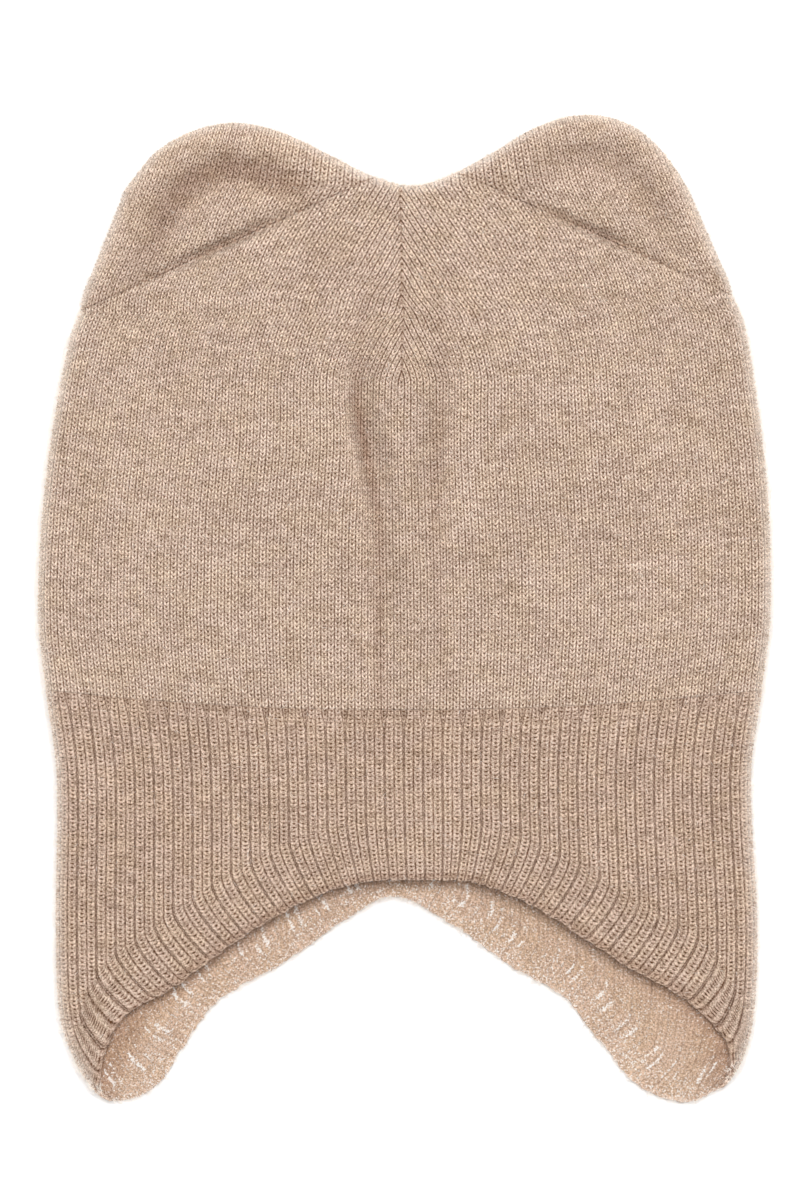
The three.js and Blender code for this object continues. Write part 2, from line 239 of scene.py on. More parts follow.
def distanceTo(line, x, y):
    best = np.full(x.shape, np.inf)
    for a, b in zip(line[:-1], line[1:]):
        d = b - a
        q = np.clip(((x - a[0]) * d[0] + (y - a[1]) * d[1]) / (d @ d), 0, 1)
        best = np.minimum(best, (x - a[0] - q * d[0]) ** 2 + (y - a[1] - q * d[1]) ** 2)
    return np.sqrt(best)


topLine = lineOf(topEdge["x"][0], topEdge["x"][-1], lambda x: (x, topAt(x)))
sideLines = {
    side: lineOf(tips[side], topEdge["y"][0], lambda y, side=side: (sideAt(side, y), y))
    for side in tips
}
frontFoot = lineOf(tipX["left"], tipX["right"], lambda x: (x, footOf["front"](x)))
seamLines = [np.array([seam["outer"], seam["inner"]]) for seam in seams.values()]


def insideFold(x, y):
    edge = distanceTo(topLine, x, y)
    for side, here in (("left", x < 0), ("right", x >= 0)):
        edge[here] = np.minimum(edge[here], distanceTo(sideLines[side], x[here], y[here]))
    return np.maximum(edge - form["foldSlack"], 0)


def seamDistance(x, y):
    return np.minimum(*[distanceTo(line, x, y) for line in seamLines])


# A bell that is wide on its inner side and narrow on its outer one.
def leaningBell(off, inner, outer):
    return bell(off / np.where(off > 0, inner, outer))


def creaseBell(side, x, y, look):
    off = (read(creases[side], "x", y) - x) * outwards[side]
    return leaningBell(off, look["creaseInner"], look["creaseOuter"])


# The depth of the front's creases and of the channel between them. Each crease is steep on its
# outer side and opens gently towards the middle.
def relief(x, y):
    deep = [
        read(creases[side], "deep", y) * creaseBell(side, x, y, form) * form["creaseMore"][side]
        for side in creases
    ]
    deepest, reach = np.maximum(*deep), form["creaseOuter"]
    left, right = [read(creases[side], "x", y) for side in creases]
    between = smooth((x - left) / reach) * smooth((right - x) / reach)
    rest = read(channel, "deep", y) * between
    return deepest + rest * (1 - np.minimum(1, deepest / form["channelEnds"]))


# An ear's trough is deep under its top and shallow along its outer side.
def troughAt(side, x):
    return mix(form["troughLeast"], 1, climb(x, *form["troughFrom"][side]))


# How far an ear stands above the crown's own puff, with a trough inside its outline.
def earLift(side, x, edge, fromSeam):
    off = edge - form["hollowFromEdge"][side]
    rim = form["hollowDeep"] * leaningBell(off, form["hollowInner"], form["hollowOuter"])
    lift = form["earPuff"] * smooth(edge / form["earPuffReach"]) - rim * troughAt(side, x)
    lift = lift * smooth(pastEnd(side, x) / form["earEndReach"])
    return lift * (1 - bell(fromSeam / form["earSeamReach"]))


# The height of the front or the back, on the face this far inside the cloth.
def heightOf(face, x, y, depth=0, inEar=False):
    edge = insideFold(x, y)
    half = form["foldHalf"] - depth
    q = np.clip((edge - depth) / half, 0, 1)
    swell = half * np.sqrt(1 - (1 - q) ** 2)
    fromSeam = seamDistance(x, y)
    pinch = bell(fromSeam / form["seamReach"])
    if face == "back":
        back = form["foldHalf"] - swell
        return back + pinch * np.maximum(0, form["seamUnder"] + depth - back)
    lift = read(puff, "high", y) * smooth(edge / form["puffReach"])
    if inEar:
        left, right = [earLift(side, x, edge, fromSeam) for side in seams]
        lift = lift + np.where(x < 0, left, right)
    else:
        lift = lift - relief(x, y)
    reach = form["waveReach"]
    wave = form["waveHigh"] * wander(3, x / reach + 20, y / reach + 20)
    lift = lift + wave * smooth(edge / form["waveFromEdge"])
    front = form["foldHalf"] + swell + lift * np.sqrt(q)
    return front - pinch * np.maximum(0, front - (form["seamTop"] - depth))


gridLow = (-100, -130)


# How much of the light above is hidden from each place of the front by the cloth beside it, on
# a grid of whole millimetres.
def horizonGrid():
    x, y = np.meshgrid(*[np.arange(low, 1.0 - low) for low in gridLow], indexing="ij")
    inEar = np.any([(y > seamAt(side, x)) & (pastEnd(side, x) > 0) for side in seams], axis=0)
    z = np.where(inEar, heightOf("front", x, y, 0, True), heightOf("front", x, y))
    outside = (x < sideAt("left", y)) | (x > sideAt("right", y))
    z[outside | (y > topAt(x)) | (y < footOf["front"](x))] = 0
    hidden = np.zeros(z.shape)
    for turn in np.arange(8) * math.pi / 4:
        horizon = np.zeros(z.shape)
        for reach in (2, 4, 7, 11):
            dx, dy = round(reach * math.cos(turn)), round(reach * math.sin(turn))
            beside = np.roll(z, (-dx, -dy), (0, 1))
            horizon = np.maximum(horizon, (beside - z) / math.hypot(dx, dy))
        hidden += horizon ** 2 / (1 + horizon ** 2) / 8
    return hidden


horizons = horizonGrid()
print("shape of the lying hat worked out")

# Where soft shade lies on the cloth: 1 is the full shade, along lines that the cloth bends at
shade = {
    "horizon": 0.98,
    "horizonLess": 0.85,  # how much of the layers' own shade goes beside an ear's seam
    "seamReach": 8,  # and how far from the seam
    "trough": {"left": (11.6, 0.5), "right": (9.4, 0.12)},  # distance from the outline, share
    "troughReach": {"left": 4.4, "right": 4},
    "troughFromEnd": 12,
    "troughFromSeam": 4,
    "creaseOuter": 1.5,
    "creaseInner": 1.3,
    "edge": 0.5,
    "edgeIn": 1.3,  # how far the shade of the front's lower edge reaches up the front
    "edgeOut": 4.2,  # and how far over the inside of the back
    "tipMore": 1.1,  # how much further it reaches at the flaps' tips
    "tipFrom": (46, 70),
    "rim": {"front": 0.3, "back": 0},
    "seam": 0.54,
    "seamDots": 0.3,
    "seamSecond": 0.6,  # the share that the next row of points gets
    "seamSide": 0.16,  # soft shade on the ear's side of its seam
    "seamSideReach": 2.2,
    "dart": 0.55,
    "dartSecond": 0.45,
    "veil": 0.42,  # painted rim light, with loose fibres over the outline
    "veilReach": 1.8,
    "ladder": 5,  # wales beside the dart whose edges show clearly
    "ladderFrom": (48, 56),
}
creaseShade = {
    "left": table(
        "y share",
        (-40, 0), (-16, 0.3), (12, 0.32), (30, 0.36), (38, 0.52), (50, 0.52), (58, 0.22), (92, 0),
    ),
    "right": table("y share", (-36, 0), (-14, 0.12), (14, 0.15), (38, 0.22), (54, 0.17), (88, 0)),
}


def shadeOf(x, y, inEar=False):
    fromSeam = seamDistance(x, y)
    share = gridAt(horizons, x - gridLow[0], y - gridLow[1]) * shade["horizon"]
    share = share * (1 - shade["horizonLess"] * bell(fromSeam / shade["seamReach"]))
    if inEar:
        edge = insideFold(x, y)
        for side in seams:
            place, most = shade["trough"][side]
            dip = bell((edge - place) / shade["troughReach"][side]) * troughAt(side, x)
            dip = dip * smooth(pastEnd(side, x) / shade["troughFromEnd"])
            share = share + most * dip * (1 - bell(fromSeam / shade["troughFromSeam"]))
        share = share + shade["seamSide"] * bell(fromSeam / shade["seamSideReach"])
    else:
        for side, rows in creaseShade.items():
            share = share + read(rows, "share", y) * creaseBell(side, x, y, shade)
    return np.minimum(share, 1)


# The shade along the front's lower edge, on the front and on the inside of the back.
def edgeShade(x, y, reach):
    reach = reach * (1 + shade["tipMore"] * climb(np.abs(x), *shade["tipFrom"]))
    return shade["edge"] * smooth(1 - distanceTo(frontFoot, x, y) / reach)


# The shade in a seam, with a darker dot at each wale.
def seamShade(at):
    return shade["seam"] + shade["seamDots"] * np.cos(2 * math.pi * at)


# The round of a fold is longer than its plan. These turn a length along the cloth, from the
# fold's line, into a distance inside the outline, and back.
foldSpare = form["foldHalf"] * (math.pi / 2 - 1)


def foldDepth(length):
    radius = form["foldHalf"]
    turn = np.clip(length / radius, 0, math.pi / 2)
    return np.where(length < radius * math.pi / 2, radius * (1 - np.cos(turn)), length - foldSpare)


def foldLength(depth):
    radius = form["foldHalf"]
    turn = np.arccos(1 - np.clip(depth / radius, 0, 1))
    return np.where(depth < radius, radius * turn, depth + foldSpare)


# The knit: V stitches in columns, which the makers call wales, and rows, called courses.
knit = {
    "wales": 111,  # across the front, and as many across the back
    "course": 1.09,
    "ribCourse": 1.01,
    "slant": 0.86,  # how many courses a stitch's leg rises from its foot
    "ribSlant": 0.85,
    "dartStart": 55.5,  # where the front's middle starts to take wales in
    "dartEnd": 105.3,
    "dartRate": 0.32,  # wales taken in for each millimetre, on each side
    "dartEase": 2,  # the wales beside the dart bend into it over this height
    "farEase": 22,  # the wales "farWales" further out bend over this one
    "farWales": 26,
    "flatAbove": 98,  # from here up the wales keep the spacing that they have at this height
    "uneven": 0.09,  # how far a stitch strays to its sides
    "strength": 0.35,  # how much the stitches' relief varies
    "rough": 0.05,
    "sink": 0.3,  # the back's relief lies this much deeper, clear of the surface below
    "ribSink": 0.34,
    "sinkReach": 4,
}
halfWales = knit["wales"] / 2
plainAt = np.arange(-2 * knit["wales"], 2 * knit["wales"] + 1) / 4

# The relief in a wale's middle, on a stitch's leg and between two wales
plainRelief = {"ridge": (0.02, 0.3, -0.06), "gap": (-0.42, -0.02, -0.3)}


def dartTaken(y, ease=knit["dartEase"]):
    run = np.clip(y, knit["dartStart"], knit["dartEnd"]) - knit["dartStart"]
    return knit["dartRate"] * (run - ease * (1 - np.exp(-run / ease)))


def dartHeight(taken):
    heights = np.linspace(knit["dartStart"], knit["dartEnd"], 2001)
    return np.interp(taken, dartTaken(heights), heights)


dartWales = float(dartTaken(knit["dartEnd"]))


# One face of the hat above the rib line, as wales that each follow the cloth upwards.
class Layer:
    step = 0.5
    ys = np.arange(-34, 124.1, step)

    def __init__(self, face, at, dart):
        self.face, self.at = face, at
        near, far = [dartTaken(self.ys, knit[key]) * dart for key in ("dartEase", "farEase")]
        self.x = np.zeros((len(at), len(self.ys)))
        for side, sign in outwards.items():
            xs, arc = self.spread(side, sign)
            mine = at * sign >= 0
            out = np.abs(at[mine])
            for k in range(len(self.ys)):
                taken = mix(near[k], far[k], smooth((out - near[k]) / knit["farWales"]))
                share = (out - taken) / (halfWales - taken)
                self.x[mine, k] = np.interp(np.clip(share, 0, 1), arc[:, k], xs[:, k])
        self.base = self.crossing(ribLine, -32)
        self.top = self.crossing(topAt, 80)
        self.span = (self.top + foldSpare - self.base) / knit["course"]

    # The same layer with only some of its wales, in this order.
    def pick(self, order):
        part = copy.copy(self)
        for key in ("at", "x", "base", "top", "span"):
            setattr(part, key, getattr(self, key)[order])
        return part

    # Places from the middle to a side fold, and how far along the cloth each one is.
    def spread(self, side, sign):
        fold, middle = sideAt(side, self.ys), middleX(self.ys)
        parts = np.linspace(1, 0, 181)[:, None]
        xs = fold - sign * foldDepth(parts * (np.abs(fold - middle) + foldSpare))
        z = heightOf(self.face, xs, np.broadcast_to(self.ys, xs.shape))
        steps = np.hypot(np.diff(xs, axis=0), np.diff(z, axis=0))
        arc = np.vstack([np.zeros(len(self.ys)), np.cumsum(steps, axis=0)])
        arc = arc / arc[-1]
        flat = self.ys > knit["flatAbove"]
        arc[:, flat] = arc[:, [np.flatnonzero(flat)[0] - 1]]
        return xs, arc

    # Where each wale passes over a boundary, a height over x, once it is above a first height.
    def crossing(self, boundary, above):
        over = np.where(self.ys > above, self.ys - boundary(self.x), -1)
        k = np.maximum(np.argmax(over > 0, axis=1), 1)
        wale = np.arange(len(self.at))
        low, high = self.ys[k - 1] - boundary(self.x[wale, k - 1]), over[wale, k]
        y = self.ys[k - 1] + self.step * low / np.minimum(low - high, -1e-9)
        return np.where(over.max(1) > 0, y, 1e3)

    def seam(self, side):
        return self.crossing(lambda x: seamAt(side, x), 60)

    def courseAt(self, y):
        return self.span - foldLength(self.top - y) / knit["course"]

    def xAt(self, y):
        place = (y - self.ys[0]) / self.step
        k = np.clip(place.astype(int), 0, len(self.ys) - 2)
        wale = np.arange(len(self.at))
        return mix(self.x[wale, k], self.x[wale, k + 1], place - k)

    # The plan of the stitches: rows of courses over the wales.
    def plan(self, v):
        y = self.top - foldDepth((self.span - v) * knit["course"])
        wide = smooth((halfWales - np.abs(self.at)) / 4)
        uneven = knit["uneven"] * wide * wander(5, self.at / 2.3 + 40, v / 4.1 + 9)
        return self.xAt(y) + uneven, y


layers = {face: Layer(face, plainAt, face == "front") for face in ("front", "back")}
print("wales laid out")


# How far a place in a wale is from the wale's middle, from 0 to 1 at the next wale.
def acrossWale(at):
    return np.abs((at + 0.5) % 1 - 0.5) * 2


# Places in the stitches, for the yarn's material: the wale and the course.
def stitchPlaces(at, v):
    return np.stack(np.broadcast_arrays(at, v), -1)


# A chain of points without its repeats.
def chainOf(ids):
    return ids[np.r_[True, np.diff(ids) != 0]]


# Puts a new point in an old one's place in each column, so that two edges are joined.
def sharePoints(ids, old, new):
    for column, a, b in zip(ids.T, old.copy(), new.copy()):
        column[column == a] = b


# The points and faces of one piece, joined as they are added.
class Cloth:
    def __init__(self, name):
        self.name, self.count = name, 0
        self.points, self.hidden, self.ladder = [], [], []
        self.faces, self.uvs, self.soft = [], [], []
        self.roots, self.ways = [], []

    def add(self, xyz, hidden=0, ladder=0):
        self.points.append(xyz.reshape(-1, 3))
        for kept, values in ((self.hidden, hidden), (self.ladder, ladder)):
            kept.append(np.broadcast_to(values, xyz.shape[:-1]).ravel())
        ids = np.arange(self.count, self.count + len(self.points[-1]))
        self.count += len(ids)
        return ids.reshape(xyz.shape[:-1])

    # Paints more shade on some points, up to the given share
    def darken(self, ids, share):
        hidden = np.concatenate(self.hidden)
        np.maximum.at(hidden, ids, share)
        self.hidden = [hidden]

    def keep(self, corners, uv, soft):
        a, b, c = corners.T
        whole = (a != b) & (b != c) & (c != a)
        self.faces.append(corners[whole])
        self.uvs.append(uv[whole])
        self.soft.append(np.full(whole.sum(), soft))

    # The skin over a grid of points, with two triangles in each cell. Each cell is cut along
    # its shorter diagonal, which "rising" gives for each gap between columns.
    def skin(self, ids, uv, rising=None, flip=False):
        if rising is None:
            rising = np.zeros(ids.shape[1] - 1, bool)
        cell = [slice(0, -1), slice(1, None)]
        a, b, c, d = [(cell[i], cell[j]) for i, j in ((0, 0), (0, 1), (1, 1), (1, 0))]
        for way, cuts in ((rising, ((a, b, d), (b, c, d))), (~rising, ((a, b, c), (a, c, d)))):
            for cut in cuts:
                corners = np.stack([ids[k][:, way] for k in cut], -1).reshape(-1, 3)
                places = np.stack([uv[k][:, way] for k in cut], -2).reshape(-1, 3, 2)
                if flip:
                    corners, places = corners[:, ::-1], places[:, ::-1]
                self.keep(corners, places, True)

    # The faces between two chains of points that run the same way.
    def join(self, first, second, firstAt, secondAt):
        i, j, corners, places = 0, 0, [], []
        while i < len(first) - 1 or j < len(second) - 1:
            onFirst = j == len(second) - 1
            if not onFirst and i < len(first) - 1:
                onFirst = firstAt[i + 1] <= secondAt[j + 1]
            corners.append((first[i], second[j], first[i + 1] if onFirst else second[j + 1]))
            places.append([(firstAt[i], 0), (secondAt[j], 0.5), (firstAt[i], 0.2)])
            i, j = (i + 1, j) if onFirst else (i, j + 1)
        self.keep(np.array(corners), np.array(places, float), False)

    # Moves points along the cloth's own normal.
    def emboss(self, ids, lift):
        points, faces = np.vstack(self.points), np.vstack(self.faces)
        edges = points[faces[:, 1:]] - points[faces[:, :1]]
        normals = np.zeros_like(points)
        facing = np.cross(edges[:, 0], edges[:, 1])
        for corner in range(3):
            np.add.at(normals, faces[:, corner], facing)
        normals = unit(normals)
        ids, first = np.unique(ids, return_index=True)
        points[ids] += normals[ids] * lift.ravel()[first][:, None]
        self.points = [points]
        self.roots.append(points[ids])
        self.ways.append(normals[ids])

    def build(self, finish, node):
        points, faces = np.vstack(self.points), np.vstack(self.faces)
        used, faces = np.unique(faces, return_inverse=True)
        faces = faces.reshape(-1, 3)
        mesh = bpy.data.meshes.new(self.name)
        mesh.vertices.add(len(used))
        mesh.vertices.foreach_set("co", (points[used] / 1000).ravel())
        mesh.loops.add(faces.size)
        mesh.loops.foreach_set("vertex_index", faces.ravel())
        mesh.polygons.add(len(faces))
        mesh.polygons.foreach_set("loop_start", np.arange(0, faces.size, 3))
        mesh.polygons.foreach_set("use_smooth", np.concatenate(self.soft))
        layer = mesh.uv_layers.new(name="stitches")
        layer.data.foreach_set("uv", np.vstack(self.uvs).reshape(-1))
        # The painted shade, below 0 where rim light is painted, and where the wales' edges show
        # beside the dart
        for key, values in (("hollow", self.hidden), ("ladder", self.ladder)):
            values = np.concatenate(values)[used]
            mesh.attributes.new(key, "FLOAT", "POINT").data.foreach_set("value", values)
        mesh.update(calc_edges=True)
        mesh.validate()
        whole = bmesh.new()
        whole.from_mesh(mesh)
        bmesh.ops.recalc_face_normals(whole, faces=whole.faces)
        openEdges = sum(not edge.is_manifold for edge in whole.edges)
        whole.to_mesh(mesh)
        whole.free()
        mesh.materials.append(finish)
        piece = bpy.data.objects.new(self.name, mesh)
        bpy.context.scene.collection.objects.link(piece)
        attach(piece, "root")
        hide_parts(node)
        print(self.name, len(mesh.polygons), "triangles,", openEdges, "open edges")


# Rows of stitches between two ends in each wale, two for each course. Rows that would fall
# past an end, or too near it, are drawn onto it, and share its point.
def rowsBetween(low, high, offset):
    step, near = 0.5, 0.15
    first = math.floor(((low - offset) / step).min())
    last = math.ceil(((high - offset) / step).max())
    row = np.arange(first, last + 1)[:, None]
    v = row * step + offset
    under, over = v < low + near, v > high - near
    start = under.sum(0) - 1
    end = np.maximum(len(row) - over.sum(0), start)
    index = np.clip(np.arange(len(row))[:, None], start, end)
    return np.where(under, low, np.where(over, high, v)), index


# The points of an outer face and their distances inside the outline. Points that are drawn
# onto an end are one point.
def outerPoints(cloth, face, x, y, index, inEar=False, ladder=0):
    hidden = 0
    if face == "front":
        hidden = np.maximum(shadeOf(x, y, inEar), edgeShade(x, y, shade["edgeIn"]))
    edge = insideFold(x, y)
    # Painted rim light with loose fibres along the outline, stored below 0 in the painted shade
    hidden = hidden - shade["veil"] * bell(edge / shade["veilReach"])
    z = heightOf(face, x, y, 0, inEar)
    ids = cloth.add(np.stack([x, y, z], -1), hidden, ladder)
    return np.take_along_axis(ids, index, 0), edge


# The points of an inner face between two heights in each wale, and their plan.
def innerPoints(cloth, layer, low, high, look, inEar=False):
    y = mix(low, high, np.linspace(0, 1, look["rows"])[:, None])
    x = layer.xAt(y) * (1 - look["wall"] / form["fullHalf"])
    z = heightOf(layer.face, x, y, look["wall"], inEar)
    return cloth.add(np.stack([x, y, z], -1)), x, y


# How far points stand out of the cloth: a stitch's gap and its ridge by turns.
def stitchLift(rows, v, offset):
    return mix(rows["gap"], rows["ridge"], 0.5 + 0.5 * np.cos(2 * math.pi * (v - offset)))


# The outer face of a plain-knit layer between two ends in courses.
def plainFace(cloth, layer, low, high, endLift, inEar=False):
    at = layer.at
    offset = knit["slant"] * acrossWale(at)
    v, index = rowsBetween(low, high, offset)
    x, y = layer.plan(v)
    ladder = 0
    if layer.face == "front" and not inEar:
        beside = bell((np.abs(at) - dartTaken(y)) / shade["ladder"])
        ladder = beside * climb(y, *shade["ladderFrom"])
    ids, edge = outerPoints(cloth, layer.face, x, y, index, inEar, ladder)
    across = np.round(acrossWale(at) * 2).astype(int)
    lift = stitchLift({row: np.array(plainRelief[row])[across] for row in plainRelief}, v, offset)
    lift = lift * (1 + knit["strength"] * wander(8, at / 0.9 + 50, v / 0.9 + 11))
    lift = lift + knit["rough"] * wander(9, at * 3.1, v * 3.3)
    if layer.face == "back":
        lift = lift - knit["sink"] * smooth(edge / knit["sinkReach"])
    for atEnd, share in zip((v <= low, v >= high), endLift):
        lift = np.where(atEnd, lift * share, lift)
    return ids, stitchPlaces(at, v), offset, lift


crown = {
    "wall": 1.8,
    "lining": 1.5,  # wales between the inner face's columns
    "rows": 14,
    "seamLift": 0.6,  # the share of the relief that is left at the seams
    "dartDeep": -0.45,
    "steepest": 1.2,  # slope of an end up to which the inner face keeps the wall's thickness
}


# Where the crown's wales end: at an ear's seam, at the dart or at the top edge.
def crownEnds(layer, dart):
    high = np.minimum.reduce([layer.top] + [layer.seam(side) for side in seams])
    if dart:
        inDart = np.abs(layer.at) < dartWales
        high[inDart] = dartHeight(np.abs(layer.at[inDart]))
    return high


def makeCrown(face, finish):
    cloth = Cloth(f"crown_{face}")
    layer, dart = layers[face], face == "front"
    highY = crownEnds(layer, dart)
    low, high = np.zeros(len(layer.at)), layer.courseAt(highY)
    inDart = dart & (np.abs(layer.at) < dartWales)
    onSeam = ~inDart & (highY < layer.top - 1e-6)
    ends = (1, np.where(onSeam, crown["seamLift"], 0))
    ids, uv, offset, lift = plainFace(cloth, layer, low, high, ends)
    # The two halves of the dart meet along its line and share their points
    lift = np.where((uv[..., 1] >= high) & inDart, crown["dartDeep"], lift)
    tops = ids[-1].copy()
    sharePoints(ids, tops, np.where(inDart & (layer.at > 0), tops[::-1], tops))
    if dart:
        cloth.darken(ids[-1][onSeam], seamShade(layer.at)[onSeam])
        cloth.darken(ids[-1][inDart], shade["dart"])
        second = np.take_along_axis(ids, (ids == ids[-1]).argmax(0)[None] - 1, 0)[0]
        cloth.darken(second[inDart], shade["dart"] * shade["dartSecond"])
    cloth.skin(ids, uv, np.diff(offset) > 0, face == "back")
    cloth.emboss(ids, lift)
    # The inner face has fewer columns, and is joined to the outer one round its border
    inner = Layer(face, np.arange(-halfWales, halfWales + 0.1, crown["lining"]), False)
    innerTop = crownEnds(inner, False)
    slope = np.abs(np.gradient(innerTop, inner.plan(inner.courseAt(innerTop))[0]))
    innerHigh = innerTop - crown["wall"] * np.hypot(1, np.minimum(slope, crown["steepest"]))
    lining, x, y = innerPoints(cloth, inner, inner.base, innerHigh, crown)
    cloth.skin(lining, stitchPlaces(inner.at, y / knit["course"]))
    points = np.vstack(cloth.points)
    border = ~inDart
    if dart:
        border[np.flatnonzero(inDart)[0]] = True
    cloth.join(ids[0], lining[0], points[ids[0], 0], x[0])
    cloth.join(ids[-1][border], lining[-1], points[ids[-1][border], 0], x[-1])
    for column in (0, -1):
        outer = chainOf(ids[:, column])
        cloth.join(outer, lining[:, column], points[outer, 1], y[:, column])
    cloth.build(finish, "crown")
    return cloth


ear = {
    "wall": 1.6,
    "rows": 7,
    "lining": 12,  # quarters of a wale between the inner face's columns
    "seamLift": 0.6,
    "topLess": 2.08,  # how far the inner face stays below the top edge
    "least": 0.2,  # its least height
}


def makeEar(side, finish):
    cloth = Cloth(f"{side}_ear")
    made, parts, keys, seamYs = [], [], [], []
    for face, layer in layers.items():
        seam = layer.seam(side)
        mine = np.flatnonzero((outwards[side] * layer.at > 0) & (seam < layer.top))
        mine = mine[::outwards[side]]
        beside = mine[0] - outwards[side]  # the crown's wale beside the ear's end, met at its top
        order = np.r_[beside, mine][::1 if face == "front" else -1]
        part, atEnd = layer.pick(order), order == beside
        low = part.courseAt(np.where(atEnd, part.top, seam[order]))
        ends = (np.where(atEnd, 0, ear["seamLift"]), 0)
        made.append(plainFace(cloth, part, low, part.span, ends, True))
        if face == "front":
            for row, share in ((0, 1), (1, shade["seamSecond"])):
                cloth.darken(made[0][0][row][~atEnd], seamShade(part.at[~atEnd]) * share)
        parts.append(part)
        keys.append(np.linspace(0, 1, len(order)) + (face == "back"))
        seamYs.append(np.maximum(seam[order], 0))
    # Front and back turn into each other round the side fold
    front, back = [ids for ids, *_ in made]
    for old, new in dict(zip(back[:, 0].tolist(), front[:, -1].tolist())).items():
        back[back == old] = new
    for ids, uv, offset, _ in made:
        cloth.skin(ids, uv, np.diff(offset) > 0, side == "left")
    for ids, _, _, lift in made:
        cloth.emboss(ids, lift)
    # The lining, with a few columns of its own
    lining, liningKey = [], []
    for part, seamY, key in zip(parts, seamYs, keys):
        pick = np.arange(2, len(part.at) - 2, ear["lining"])
        if part.face == "front":
            pick = np.append(pick, len(part.at) - 1)
        top = part.top[pick] - ear["topLess"]
        low = np.minimum(seamY[pick], top - ear["least"])
        lining.append(innerPoints(cloth, part.pick(pick), low, top, ear, True)[0])
        liningKey.append(key[pick])
    lining, liningKey = np.hstack(lining), np.concatenate(liningKey)
    cloth.skin(lining, stitchPlaces(liningKey * 20, np.arange(ear["rows"])[:, None]))
    key = np.r_[keys[0], keys[1][1:]]
    for row in (0, -1):
        cloth.join(np.r_[front[row], back[row][1:]], lining[row], key, liningKey)
    for ids, column in ((front, 0), (back, -1)):
        outer = chainOf(ids[:, column])
        up = [np.linspace(0, 1, count) for count in (len(outer), ear["rows"])]
        cloth.join(outer, lining[:, column], *up)
    cloth.build(finish, f"ear_{side}")
    return cloth


fuzz = {
    "edge": 12,  # hairs for each millimetre of the outline
    "face": 0.02,  # hairs for each point of the open face
    "long": (0.5, 1.9),
    "thick": 0.09,
    "lean": (0.55, 1.6),  # at the outline, and on the face, where they lie lower
    "bend": 0.35,
    "scatter": 0.15,
    "outline": (2, 3),  # how near the side folds and the lower edge the outline's hairs stand
    "highest": 6.5,
    "sideways": 0.65,  # the outline's hairs stand where the cloth faces up less than this
    "upwards": 0.8,  # and the face's hairs where it faces up more than this
    "wild": 0.8,
    "lowest": -0.15,
    "clear": 0.05,  # above the surface below
    "colour": (0.95, 0.88, 0.81, 1),
}


# Loose hairs that stand out round the outline, and a few that lie on the face. Each is a thin
# bent spike of two lengths.
def makeFuzz(cloth, node, finish, seed):
    draw = np.random.default_rng(seed)
    roots, ways = np.vstack(cloth.roots), np.vstack(cloth.ways)
    x, y, z = roots.T
    fold, foot = fuzz["outline"]
    outline = (insideFold(x, y) < fold) | (y < footOf["back"](x) + foot)
    outline = outline & (z < fuzz["highest"]) & (np.abs(ways[:, 2]) < fuzz["sideways"])
    rim, face = np.flatnonzero(outline), np.flatnonzero(ways[:, 2] >= fuzz["upwards"])
    counts = int((np.ptp(x[rim]) + np.ptp(y[rim])) * fuzz["edge"]), int(len(face) * fuzz["face"])
    chosen = np.concatenate([draw.choice(some, count) for some, count in zip((rim, face), counts)])
    lean = np.repeat(fuzz["lean"], counts)[:, None]
    root = roots[chosen] + draw.normal(0, fuzz["scatter"], (len(chosen), 3))
    way = ways[chosen] + lean * draw.normal(0, fuzz["wild"], (len(chosen), 3))
    way[:, 2] = np.maximum(way[:, 2], fuzz["lowest"])
    way = unit(way)
    long = draw.uniform(*fuzz["long"], len(chosen))[:, None]
    bend = draw.normal(0, fuzz["bend"], (len(chosen), 3))
    knee = root + way * long * 0.5
    tip = knee + (way + bend) * long * 0.5
    across = unit(np.cross(way, draw.normal(0, 1, (len(chosen), 3))))
    beside = np.cross(way, across)
    rings = [
        centre + (across * math.cos(turn) + beside * math.sin(turn)) * size * fuzz["thick"]
        for centre, size in ((root - way * 0.2, 0.5), (knee, 0.35))
        for turn in np.arange(3) * 2 * math.pi / 3
    ]
    spikes = np.stack(rings + [tip], 1)
    spikes[..., 2] += np.maximum(0, fuzz["clear"] - spikes[..., 2].min(1, keepdims=True))
    hairs = Cloth(f"{cloth.name}_fuzz")
    ids = hairs.add(spikes)
    corners = [(0, 2, 1)]
    for a, b in ((0, 1), (1, 2), (2, 0)):
        corners += [(a, b, b + 3), (a, b + 3, a + 3), (a + 3, b + 3, 6)]
    for corner in corners:
        hairs.keep(ids[:, corner], np.zeros((len(ids), 3, 2)), True)
    hairs.build(finish, node)


band = {
    "wall": 2.2,
    "turn": {"front": 14, "back": 8},  # the depth in which the ribs turn square to the edge
    "tipReach": 22,
    "edgeSmooth": 8,
    "turnEase": 1.4,
    "knitShare": 0.478,  # of a rib's width, for each of its two knit wales
    "squeezeOver": 5,  # courses below the rib line in which the ribs draw together
    "deepOver": 8,  # and in which their grooves come to full depth
    "deepFrom": 0.3,
    "dimple": 0.5,
    "dimpleAt": -1.3,
    "dimpleReach": 0.9,
    "innerRows": {"front": (5, 9), "back": (15, 44)},  # in the turn and above it
    "grain": 0.2,  # the inner face's relief on the back, where it shows inside the mouth
    "innerRidge": 0.1,
    "innerEnds": 3,  # rows in which that relief fades at both ends
    "rimRows": 5,
    "rimFrom": 6,  # the row of points above the foot that gives the rim its direction
    "rimDeep": 0.9,
    "rimUneven": 0.35,
    "turnCourse": -300,  # where the counts of courses start, below the bend and on the inner face
    "innerCourse": 600,
}

